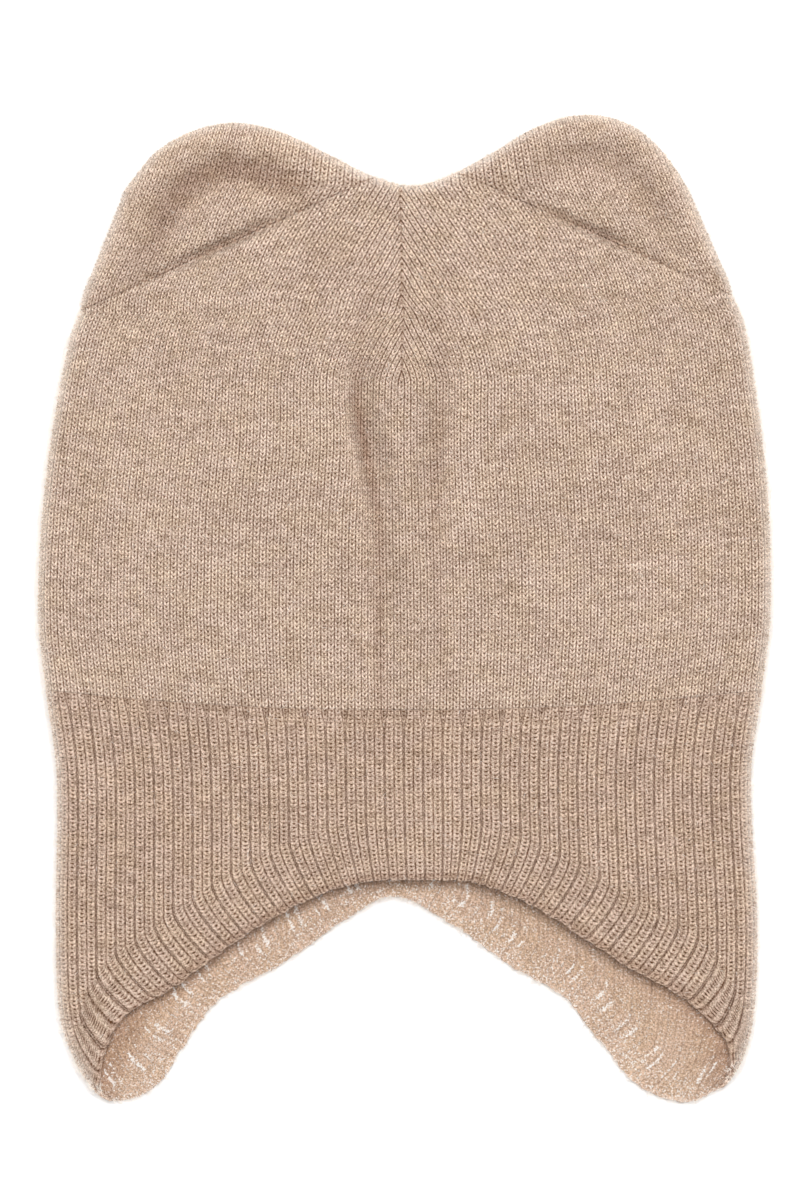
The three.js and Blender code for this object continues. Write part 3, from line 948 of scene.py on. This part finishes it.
# One rib over three wales: a knit one, a sunken purl one and a knit one
ribPlaces = np.array([0, 0.22, 0.5, 0.78, 1, 1.5, 2, 2.22, 2.5, 2.78])
ribRelief = {
    "ridge": (-0.2, 0.32, 0.1, 0.32, -0.15, -0.34, -0.15, 0.32, 0.1, 0.32),
    "gap": (-0.36, 0.04, -0.42, 0.04, -0.3, -0.46, -0.3, 0.04, -0.42, 0.04),
}
ribs = np.arange(knit["wales"] // 3)[:, None] * 3
ribAt = np.append((ribs + ribPlaces).ravel(), knit["wales"]) - halfWales


# One value for each place of a rib, repeated over all ribs.
def perRib(values):
    return np.append(np.tile(values, len(ribs)), values[0])


# The place of a wale once the ribs have drawn together.
def drawnIn(at):
    rib = np.floor((at + halfWales) / 3)
    within = at + halfWales - rib * 3
    share = band["knitShare"]
    return rib * 3 + 3 * np.interp(within, (0, 1, 2, 3), (0, share, 1 - share, 1)) - halfWales


def bandX(full, y, inset):
    left, right = sideAt("left", y), sideAt("right", y)
    half = (right - left) / 2
    out = half - foldDepth((1 - np.abs(full)) * (half + foldSpare))
    return (left + right) / 2 + np.sign(full) * out * inset


def bisect(low, high, test):
    for _ in range(40):
        middle = (low + high) / 2
        above = test(middle)
        low, high = np.where(above, low, middle), np.where(above, middle, high)
    return (low + high) / 2


def edgeLean(foot, x):
    reach = band["edgeSmooth"]
    slope = (foot(x + reach) - foot(x - reach)) / (2 * reach)
    return slope / np.hypot(1, slope)


# The ways that the ribs take, down from the rib line and square to the edge at their foot.
class RibPaths:
    def __init__(self, face, inset):
        self.inset = inset
        self.straight, self.full = ribAt / halfWales, drawnIn(ribAt) / halfWales
        foot = footOf[face]
        start = np.full(len(ribAt), -124.0)
        plainY = bisect(start, start + 64, lambda y: y > foot(bandX(self.full, y, inset)))
        plainX = bandX(self.full, plainY, inset)
        reach = (1 - np.abs(self.full)) * form["fullHalf"] / band["tipReach"]
        turn = band["turn"][face] * smooth(reach)
        footX = plainX
        for _ in range(12):
            footX = plainX + turn * edgeLean(foot, footX)
        lean = edgeLean(foot, footX)
        self.footY = np.where(reach > 0, foot(footX), plainY)
        self.shift = footX - plainX
        self.bendY = self.footY + band["turn"][face] * np.sqrt(1 - lean * lean)
        start = np.full(len(ribAt), -60.0)
        self.top = bisect(start, start + 80, lambda y: y > ribLine(bandX(self.straight, y, inset)))
        self.bend = (self.bendY - self.top) / knit["ribCourse"]

    # The plan at a share of the way from the foot to the bend.
    def lower(self, q):
        y = mix(self.footY, self.bendY, q)
        return bandX(self.full, y, self.inset) + self.shift * (1 - q) ** band["turnEase"], y

    # The plan at a depth below the rib line, in courses.
    def upper(self, v):
        y = self.top + v * knit["ribCourse"]
        full = mix(self.straight, self.full, smooth(-v / band["squeezeOver"]))
        return bandX(full, y, self.inset), y


# The ribs' relief. Below the rib line the grooves start shallow, each with a dimple.
def ribLift(v, offset, fromTop):
    lift = stitchLift({row: perRib(ribRelief[row]) for row in ribRelief}, v, offset)
    if fromTop:
        groove = perRib(ribPlaces == 1.5)
        sunken = groove | perRib((ribPlaces == 1) | (ribPlaces == 2))
        lift = np.where(sunken, lift * mix(band["deepFrom"], 1, smooth(-v / band["deepOver"])), lift)
        dimple = bell((v - band["dimpleAt"]) / band["dimpleReach"])
        lift = lift - band["dimple"] * groove * dimple
    return lift + knit["rough"] * wander(12, np.arange(lift.shape[1]) * 0.83, v * 3.3)


# The inner face, finer and with some relief on the back, where it shows inside the mouth.
def bandInside(cloth, face):
    paths = RibPaths(face, 1 - band["wall"] / form["fullHalf"])
    turnRows, restRows = band["innerRows"][face]
    plans = [paths.lower(q) for q in np.linspace(0, 1, turnRows)]
    plans += [paths.upper(paths.bend * (1 - q)) for q in np.linspace(0, 1, restRows)[1:]]
    x, y = np.swapaxes(plans, 0, 1)
    z = heightOf(face, x, y, band["wall"])
    hidden = edgeShade(x, y, shade["edgeOut"])
    if face == "back":
        rows, ends = np.arange(len(plans))[:, None], band["innerEnds"]
        grain = band["grain"] * wander(21, ribAt * 3.7, rows * 1.7)
        ridge = band["innerRidge"] * perRib(ribPlaces == 1.5)
        z = z + (grain + ridge) * smooth(rows / ends) * smooth((len(plans) - 1 - rows) / ends)
        hidden = np.where(y > footOf["front"](x), shade["edge"], hidden)
    inner = cloth.add(np.stack([x, y, z], -1), hidden)
    steps = [np.diff(plan, axis=0, prepend=plan[:1]) for plan in (x, y)]
    along = np.cumsum(np.hypot(*steps), 0)
    cloth.skin(inner, stitchPlaces(ribAt, band["innerCourse"] + along / knit["ribCourse"]))
    return inner, x, y


# The rim rolls round from the outer face to the inner one.
def bandRim(cloth, face, lower, inner, foot):
    points = np.vstack(cloth.points)
    a, b = points[lower[0]], points[inner[0]]
    down = unit(a - points[lower[band["rimFrom"]]])
    turn = np.linspace(0, math.pi, band["rimRows"] + 2)[1:-1, None, None]
    thick = np.linalg.norm(a - b, axis=1)[None, :, None] / 2
    knots = (1 + band["rimUneven"] * wander(31, ribAt * 1.9, turn[..., 0] * 1.3))[..., None]
    roll = down * thick * np.sin(turn) * band["rimDeep"] * knots
    rim = (a + b) / 2 + (a - b) / 2 * np.cos(turn) + roll
    ids = np.vstack([lower[0], cloth.add(rim, shade["rim"][face]), inner[0]])
    steps = np.arange(len(ids))[:, None] / 2
    v = band["innerCourse"] + steps if face == "back" else band["turnCourse"] - foot - steps
    cloth.skin(ids, stitchPlaces(ribAt, v))
    return ids, rim, down


def makeBand(face, finish):
    cloth = Cloth(f"rib_band_{face}")
    paths = RibPaths(face, 1)
    offset = knit["ribSlant"] * acrossWale(ribAt) ** 2
    foot = band["turn"][face] / knit["ribCourse"]
    zero = np.zeros(len(ribAt))
    parts = []
    for low, fromTop in ((paths.bend, True), (zero - foot, False)):
        v, index = rowsBetween(low, zero, offset)
        x, y = paths.upper(v) if fromTop else paths.lower(1 + v / foot)
        ids, edge = outerPoints(cloth, face, x, y, index)
        uv = stitchPlaces(ribAt, v if fromTop else v + band["turnCourse"])
        lift = ribLift(v, offset, fromTop)
        if face == "back":
            lift = lift - knit["ribSink"] * smooth(edge / knit["sinkReach"])
        parts.append((ids, uv, lift))
    upper, lower = [ids for ids, _, _ in parts]
    sharePoints(lower, lower[-1], upper[0])
    for ids, uv, _ in parts:
        cloth.skin(ids, uv, np.diff(offset) > 0, face == "back")
    cloth.emboss(*[np.concatenate([part[k].ravel() for part in parts]) for k in (0, 2)])
    inner, x, y = bandInside(cloth, face)
    rimIds, rim, down = bandRim(cloth, face, lower, inner, foot)
    # The cut sides, where front and back meet, and the upper end
    points = np.vstack(cloth.points)
    for column in (0, -1):
        outer = chainOf(np.concatenate([ids[:, column] for ids in (rimIds[::-1], lower, upper)]))
        up = np.maximum.accumulate(points[outer, 1])
        cloth.join(outer, inner[:, column], up, y[:, column])
    cloth.join(upper[-1], inner[-1], points[upper[-1], 0], x[-1])
    cloth.roots.append(rim.reshape(-1, 3))
    cloth.ways.append(np.broadcast_to(down, rim.shape).reshape(-1, 3))
    cloth.build(finish, "rib_band")
    return cloth


# An output of a node. Sums and products of these, and of numbers, become Math nodes.
class Wire:
    def __init__(self, finish, node, output=0):
        self.finish, self.node, self.output = finish, node, output

    def __getitem__(self, output):
        return Wire(self.finish, self.node, output)

    def math(self, operation, *values):
        return self.finish.add("ShaderNodeMath", {"operation": operation}, values)

    def __add__(self, other):
        return self.math("ADD", self, other)

    __radd__ = __add__

    def __sub__(self, other):
        return self.math("SUBTRACT", self, other)

    def __rsub__(self, other):
        return self.math("SUBTRACT", other, self)

    def __mul__(self, other):
        return self.math("MULTIPLY", self, other)

    __rmul__ = __mul__

    def __truediv__(self, other):
        return self.math("DIVIDE", self, other)

    def atMost(self, other):
        return self.math("MINIMUM", self, other)

    def atLeast(self, other):
        return self.math("MAXIMUM", self, other)

    def fraction(self):
        return self.math("FRACT", self)

    def floor(self):
        return self.math("FLOOR", self)

    def size(self):
        return self.math("ABSOLUTE", self)

    def wave(self):
        return self.math("COSINE", self * (2 * math.pi))

    # 0 at one value, 1 at another and smooth between them
    def ramp(self, start, end):
        settings = {"interpolation_type": "SMOOTHSTEP"}
        return self.finish.add("ShaderNodeMapRange", settings, (self, start, end, 0.0, 1.0))

    # 1 at a place and 0 further than the reach from it
    def peak(self, at, reach):
        return 1 - (self - at).size().ramp(0.0, reach)


class Finish:
    def __init__(self, name):
        self.material = bpy.data.materials.new(name)
        self.material.use_nodes = True
        self.nodes = self.material.node_tree.nodes
        self.links = self.material.node_tree.links
        self.nodes.clear()

    # Any node: its type, its settings, and the values or wires of its sockets, by order,
    # name or identifier.
    def add(self, kind, settings=None, sockets=()):
        node = self.nodes.new(kind)
        for key, value in (settings or {}).items():
            setattr(node, key, value)
        pairs = sockets.items() if isinstance(sockets, dict) else enumerate(sockets)
        for key, value in pairs:
            socket = self.find(node.inputs, key)
            if isinstance(value, Wire):
                self.links.new(self.find(value.node.outputs, value.output), socket)
            else:
                socket.default_value = value
        return Wire(self, node)

    def find(self, sockets, key):
        if isinstance(key, int):
            return sockets[key]
        return next(s for s in sockets if key in (s.identifier, s.name))

    def blend(self, first, second, share):
        sockets = {"Factor_Float": share, "A_Color": first, "B_Color": second}
        return self.add("ShaderNodeMix", {"data_type": "RGBA"}, sockets)["Result_Color"]

    # Part of the colour is multiplied by another colour
    def tint(self, colour, factor, share):
        sockets = (colour, factor)
        full = self.add("ShaderNodeVectorMath", {"operation": "MULTIPLY"}, sockets)
        return self.blend(colour, full, share)

    def noise(self, place, scale, detail=2.0, rough=0.5):
        sockets = {"Vector": place, "Scale": scale, "Detail": detail, "Roughness": rough}
        return self.add("ShaderNodeTexNoise", {}, sockets)["Fac"]

    def point(self, x, y, z=0.0):
        return self.add("ShaderNodeCombineXYZ", {}, (x, y, z))

    def attribute(self, name):
        return self.add("ShaderNodeAttribute", {"attribute_name": name})["Fac"]

    # The shader with these values, as the whole surface
    def surface(self, sockets):
        shader = self.add("ShaderNodeBsdfPrincipled", {}, sockets)
        self.add("ShaderNodeOutputMaterial", {}, {"Surface": shader})
        return self.material


yarn = {
    "plain": {
        "light": (0.84, 0.652, 0.537, 1),
        "dark": (0.345, 0.231, 0.165, 1),
        "slant": knit["slant"],
        # how strong the painted highlight on the legs' crests is
        "crest": 1.05,
        "flecks": 4.1,
        "gaps": 1.0,
    },
    "rib": {
        "light": (0.79, 0.597, 0.482, 1),
        "dark": (0.315, 0.206, 0.145, 1),
        "slant": knit["ribSlant"],
        # how strong the painted highlight on the legs' crests is
        "crest": 0.64,
        "flecks": 4.6,
        "gaps": 0.88,
    },
    # How fine each kind of unevenness is: the waves of its noise in a metre
    "scales": {
        "patches": 55, "hues": 160, "gaps": 900, "veil": 1500, "specks": 2500, "flecks": 2600,
        "fibres": 4200,
    },
    "patches": 0.22,  # how much each kind changes the tone
    "legs": 0.22,
    "insideFlecks": 2.4,  # how much weaker the flecks are on the inner faces
    "insideStitches": 0.6,  # the share by which single stitches and the painted crest highlights show less there
    "insideGaps": 0.7,
    "hole": 1.12,  # the shade in the middle of a V
    "holeLess": 0.37,  # and how much less it is beside the dart, where the legs' edges show
    "line": 0.2,
    "legEdge": 0.64,
    "legEdgeGap": 0.3,
    "legEdgeMore": 0.42,
    "groove": 0.12,
    "dimple": 0.25,
    "deep": (0.21, 0.11, 0.05),  # what is left of the colour under the painted shade of the gaps
    # the painted highlight on the legs' crests
    "crest": (1.27, 1.42, 1.48),
    # the colour that the painted shade of folds, seams and edges tints towards
    "hollow": (0.55, 0.43, 0.365),
    "warm": (1.0, 0.995, 0.95),  # how much the patches' hues differ
    # the painted light of the inner faces, coming through the cloth: paler and pinker
    "inside": (1.08, 1.02, 0.945),
    # the colour of the painted rim light and loose fibres at the outline
    "veil": (0.95, 0.88, 0.81, 1),
    "glow": (1, 0.96, 0.92, 1),  # light that comes through loose stitches
    "glowMost": 0.85,
    "insideFrom": 450,  # the courses of the inner faces are counted from 600
    "nearTo": 609,
    "near": 0.06,
    "streakFrom": 603,
    "streakTo": 610.5,
    "streakEnds": 1.5,
    "streak": 0.21,
    "ply": 0.3,
    "fibres": 0.8,
    "bump": 0.0002,  # how deep the plies and fibres are, in metres
}


# The yarn's own colours: patches, streaks along a course's yarn, single stitches and fibres.
def melange(f, look, place, wale, rowNumber, inside):
    scales = yarn["scales"]
    patches = f.noise(place, scales["patches"]) - 0.5
    streaks = f.noise(f.point(wale * 0.22, rowNumber * 3.7), 1.0, 3.0, 0.7) - 0.5
    legs = f.add("ShaderNodeTexWhiteNoise", {}, {"Vector": f.point((wale * 2).floor(), rowNumber)})
    stitches = streaks + (legs["Value"] - 0.5) * yarn["legs"]
    stitches = stitches * (1 - inside * yarn["insideStitches"])
    flecks = f.noise(place, scales["flecks"], 3.0, 0.7) - 0.5
    flecks = flecks * (look["flecks"] - inside * yarn["insideFlecks"])
    tone = 0.5 + patches * yarn["patches"] + stitches + flecks
    colour = f.blend(look["dark"], look["light"], tone.ramp(0.0, 1.0))
    return f.tint(colour, yarn["warm"], f.noise(place, scales["hues"]).ramp(0.38, 0.66))


# The shade in the gaps: a hole in the middle of each V, a line beside it and the legs' edges.
def gapShade(f, look, place, across, ridge, inside):
    gap = 1 - ridge
    narrow = gap * gap * gap
    uneven = f.noise(place, yarn["scales"]["gaps"], 1.0).ramp(0.25, 0.75) + 0.6
    ladder = f.attribute("ladder")
    hole = narrow * (yarn["hole"] - ladder * yarn["holeLess"])
    legEdge = narrow * yarn["legEdgeGap"] + yarn["legEdge"] + ladder * yarn["legEdgeMore"]
    gaps = (1 - across.ramp(0.0, 0.46)) * hole + narrow * yarn["line"]
    gaps = gaps + across.ramp(0.74, 1.0) * legEdge
    return gaps * uneven * (1 - inside * yarn["insideGaps"]) * look["gaps"]


# More shade in the grooves between the ribs, and in the dimple at the top of each.
def grooveShade(wale, course, inside):
    groove = 1 - (((wale / 3 + 0.5).fraction() - 0.5).size() * 3).ramp(0.35, 0.62)
    begun = (0 - course).ramp(0.5, 7.0)
    dimple = groove * course.peak(-1.0, 1.7) * yarn["dimple"]
    return groove * begun * (1 - inside) * yarn["groove"] + dimple


# Light comes through the inner face in specks, and in strokes in the loose rows near its edge.
def lightThrough(f, place, wale, course):
    first, last, ends = yarn["streakFrom"], yarn["streakTo"], yarn["streakEnds"]
    looseRows = course.ramp(first, first + ends) * (1 - course.ramp(last - ends, last))
    loose = f.noise(f.point(wale * 0.9, course * 0.2, 7.0), 1.0, 2.0, 0.6).ramp(0.4, 0.5)
    loose = loose * (wale * 0.55).fraction().peak(0.5, 0.2)
    near = 1 - course.ramp(band["innerCourse"], yarn["nearTo"])
    specks = f.noise(place, yarn["scales"]["specks"], 1.0) + near * yarn["near"]
    return (specks + looseRows * loose * yarn["streak"]).ramp(0.56, 0.78)


def makeYarn(name, look, isRib):
    f = Finish(name)
    uv = f.add("ShaderNodeSeparateXYZ", {}, (f.add("ShaderNodeUVMap", {"uv_map": "stitches"}),))
    wale, course = uv["X"], uv["Y"]
    place, scales = f.add("ShaderNodeTexCoord")["Object"], yarn["scales"]
    across = ((wale + 0.5).fraction() - 0.5).size() * 2
    row = course - (across * across if isRib else across) * look["slant"]
    ridge = row.wave() * 0.5 + 0.5
    inside = course.ramp(yarn["insideFrom"], yarn["insideFrom"] + 1)
    colour = melange(f, look, place, wale, (row + 0.5).floor(), inside)
    gaps = gapShade(f, look, place, across, ridge, inside)
    if isRib:
        gaps = gaps + grooveShade(wale, course, inside)
    colour = f.tint(colour, yarn["deep"], gaps.atMost(1.0))
    # A painted highlight along the crest of each leg
    crest = across.peak(0.5, 0.3) * (ridge * 0.75 + 0.25) * (1 - inside * yarn["insideStitches"])
    colour = f.tint(colour, yarn["crest"], crest * look["crest"])
    # The painted soft shade of folds and seams, and where it is below 0, painted rim light with the
    # veil of loose fibres
    hollow = f.attribute("hollow")
    colour = f.tint(colour, yarn["hollow"], hollow.atLeast(0.0))
    thin = f.noise(place, scales["veil"]).ramp(0.3, 0.7) + 0.3
    colour = f.blend(colour, yarn["veil"], (0 - hollow).atLeast(0.0) * thin)
    # The inner face is painted paler and pinker, as light that comes through the cloth
    colour = f.tint(colour, yarn["inside"], inside)
    glow = lightThrough(f, place, wale, course) * inside * yarn["glowMost"]
    colour = f.blend(colour, yarn["glow"], glow)
    # Plies and loose fibres
    ply = (row * 3 + across * 2).wave() * yarn["ply"]
    fibres = f.noise(place, scales["fibres"], 2.0, 0.6) * yarn["fibres"]
    height = ply + fibres + ridge * 0.5
    sockets = {"Strength": 0.6, "Distance": yarn["bump"], "Height": height}
    return f.surface({
        "Base Color": colour,
        "Roughness": 0.92,
        "Specular IOR Level": 0.15,
        "Sheen Weight": 0.12,
        "Sheen Roughness": 0.5,
        "Sheen Tint": (1.0, 0.93, 0.87, 1),
        "Normal": f.add("ShaderNodeBump", {}, sockets),
    })


def makeHairs():
    return Finish("loose hairs").surface({
        "Base Color": fuzz["colour"],
        "Roughness": 0.8,
        "Specular IOR Level": 0.2,
        "Emission Color": fuzz["colour"],  # light that passes through so thin a fibre
        "Emission Strength": 0.22,
    })


studio = {
    "distance": 1.3,
    "view": (-0.0011, 0.00175),  # the image's middle on the floor
    "height": 0.3,  # of the image, in the plane of the hat's outline
    "plane": 0.0034,
    "sensor": 36,
    "floor": (0.94, 0.94, 0.94, 1),
    "floorHalf": 4,
    "floorLow": -0.0002,
    "surround": 0.12,
    "lamps": {  # where each soft lamp stands, its width and height, and its power
        "above": ((0.05, 0.4, 2.1), (1.0, 1.0), 43.9),
        "left": ((-1.6, 0, 0.26), (2.2, 0.35), 12),
        "right": ((1.6, 0, 0.26), (2.2, 0.35), 12),
        "far": ((0, 1.6, 0.26), (2.2, 0.35), 12),
        "near": ((0, -1.6, 0.26), (2.2, 0.35), 12),
    },
}


def putAt(where, name, data):
    thing = bpy.data.objects.new(name, data)
    thing.location = where
    bpy.context.scene.collection.objects.link(thing)
    return thing


def makeStudio():
    scene = bpy.context.scene
    scene.view_settings.view_transform = "Standard"
    camera = bpy.data.cameras.new("camera")
    camera.sensor_width = studio["sensor"]
    camera.lens = studio["sensor"] * studio["distance"] / studio["height"]
    eye = (*studio["view"], studio["plane"] + studio["distance"])
    scene.camera = putAt(eye, "camera", camera)
    mesh = bpy.data.meshes.new("floor")
    half, low = studio["floorHalf"], studio["floorLow"]
    corners = [(-half, -half, low), (half, -half, low), (half, half, low), (-half, half, low)]
    mesh.from_pydata(corners, [], [(0, 1, 2, 3)])
    sockets = {"Base Color": studio["floor"], "Roughness": 0.9, "Specular IOR Level": 0.0}
    mesh.materials.append(Finish("pale floor").surface(sockets))
    floor = putAt((0, 0, 0), "floor", mesh)
    for name, (where, size, power) in studio["lamps"].items():
        light = bpy.data.lights.new(name, "AREA")
        light.shape, light.energy = "RECTANGLE", power
        light.size, light.size_y = size
        lamp = putAt(where, name, light)
        lamp.rotation_euler = (-Vector(where)).to_track_quat("-Z", "Y").to_euler()
    world = bpy.data.worlds.new("soft surround")
    scene.world = world
    world.use_nodes = True
    surround = world.node_tree.nodes["Background"]
    surround.inputs["Color"].default_value = (1, 1, 1, 1)
    surround.inputs["Strength"].default_value = studio["surround"]


makeStudio()
print("studio made")
plainYarn = makeYarn("plain knit", yarn["plain"], False)
ribYarn = makeYarn("rib knit", yarn["rib"], True)
hairs = makeHairs()
print("yarns made")
crowns = [makeCrown(face, plainYarn) for face in layers]
for number, cloth in enumerate(crowns):
    makeFuzz(cloth, "crown", hairs, 31 + number)
for number, side in enumerate(seams):
    makeFuzz(makeEar(side, plainYarn), f"ear_{side}", hairs, 41 + number)
for number, face in enumerate(layers):
    makeFuzz(makeBand(face, ribYarn), "rib_band", hairs, 51 + number)
print("hat made")
